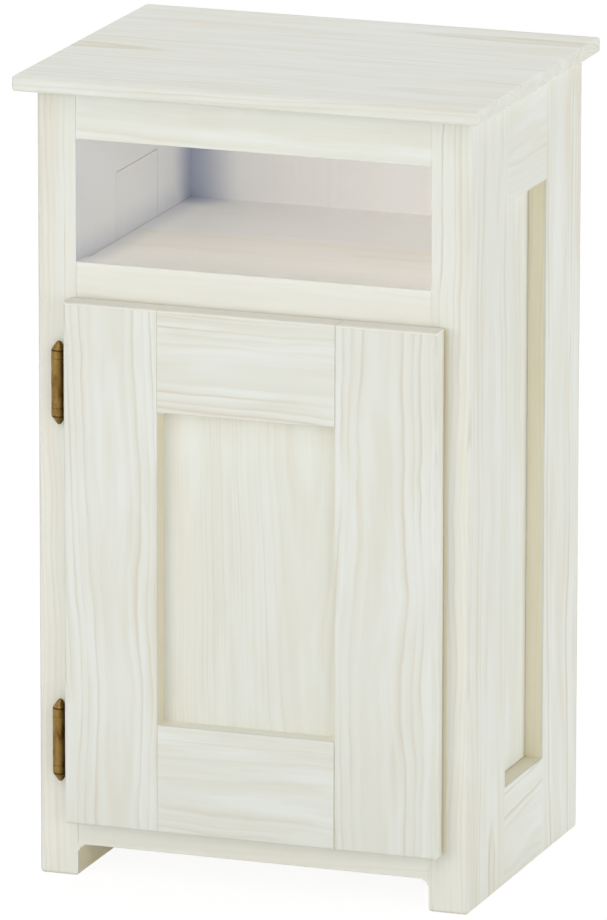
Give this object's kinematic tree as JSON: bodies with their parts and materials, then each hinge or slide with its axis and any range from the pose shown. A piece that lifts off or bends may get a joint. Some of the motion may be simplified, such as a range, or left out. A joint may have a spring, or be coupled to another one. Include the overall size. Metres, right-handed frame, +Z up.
{
  "type": "storage side table",
  "caption": "Tall pine side table with an open compartment above a cupboard, framed side panels and a framed door on brass barrel hinges.",
  "frame": {"origin": "on the floor, under the middle of the top", "axes": "+Z up, +X to the right of a person facing the door, the door faces -Y"},
  "size_m": [0.45, 0.35, 0.76],
  "materials": {
    "white_pine": "white-washed, satin, grain showing",
    "antique_brass": "antique, worn",
    "zinc_steel": "zinc plated",
    "catch_plastic": "moulded",
    "magnet_iron": "bare ferrite",
    "felt": "pressed felt"
  },
  "bodies": {
    "cabinet": {"back_panel": "white_pine", "back_panel_nails": "zinc_steel", "catch_housing": "catch_plastic", "catch_magnet": "magnet_iron", "catch_pole_plates": "zinc_steel", "catch_screws": "zinc_steel", "cleat_board_screws": "zinc_steel", "cleat_wall_screws": "zinc_steel", "floor_board_front": "white_pine", "floor_board_rear": "white_pine", "front_bottom_rail": "white_pine", "front_middle_rail": "white_pine", "front_top_rail": "white_pine", "hinge_frame_screws": "antique_brass", "left_bottom_rail": "white_pine", "left_floor_cleat": "white_pine", "left_front_post": "white_pine", "left_panel": "white_pine", "left_rear_post": "white_pine", "left_shelf_cleat": "white_pine", "left_top_rail": "white_pine", "lower_hinge_frame_leaf": "antique_brass", "lower_hinge_lower_tip": "antique_brass", "lower_hinge_pin": "antique_brass", "rear_bottom_rail": "white_pine", "rear_top_rail": "white_pine", "right_bottom_rail": "white_pine", "right_floor_cleat": "white_pine", "right_front_post": "white_pine", "right_panel": "white_pine", "right_rear_post": "white_pine", "right_shelf_cleat": "white_pine", "right_top_rail": "white_pine", "shelf_board_front": "white_pine", "shelf_board_rear": "white_pine", "top_board_front": "white_pine", "top_board_middle": "white_pine", "top_board_rear": "white_pine", "top_screws": "zinc_steel", "upper_hinge_frame_leaf": "antique_brass", "upper_hinge_lower_tip": "antique_brass", "upper_hinge_pin": "antique_brass"},
    "door": {"door_bottom_rail": "white_pine", "door_bumpers": "felt", "door_closing_stile": "white_pine", "door_hinge_stile": "white_pine", "door_panel": "white_pine", "door_top_rail": "white_pine", "hinge_door_screws": "antique_brass", "lower_hinge_door_leaf": "antique_brass", "strike_plate": "zinc_steel", "strike_screws": "zinc_steel", "upper_hinge_door_leaf": "antique_brass"}
  },
  "joints": [
    {"name": "door_hinge", "type": "hinge", "parent": "cabinet", "child": "door", "pos_m": [-0.1861, -0.1575, 0.305], "axis": [0, 0, -1], "range_deg": [0, 120]}
  ]
}
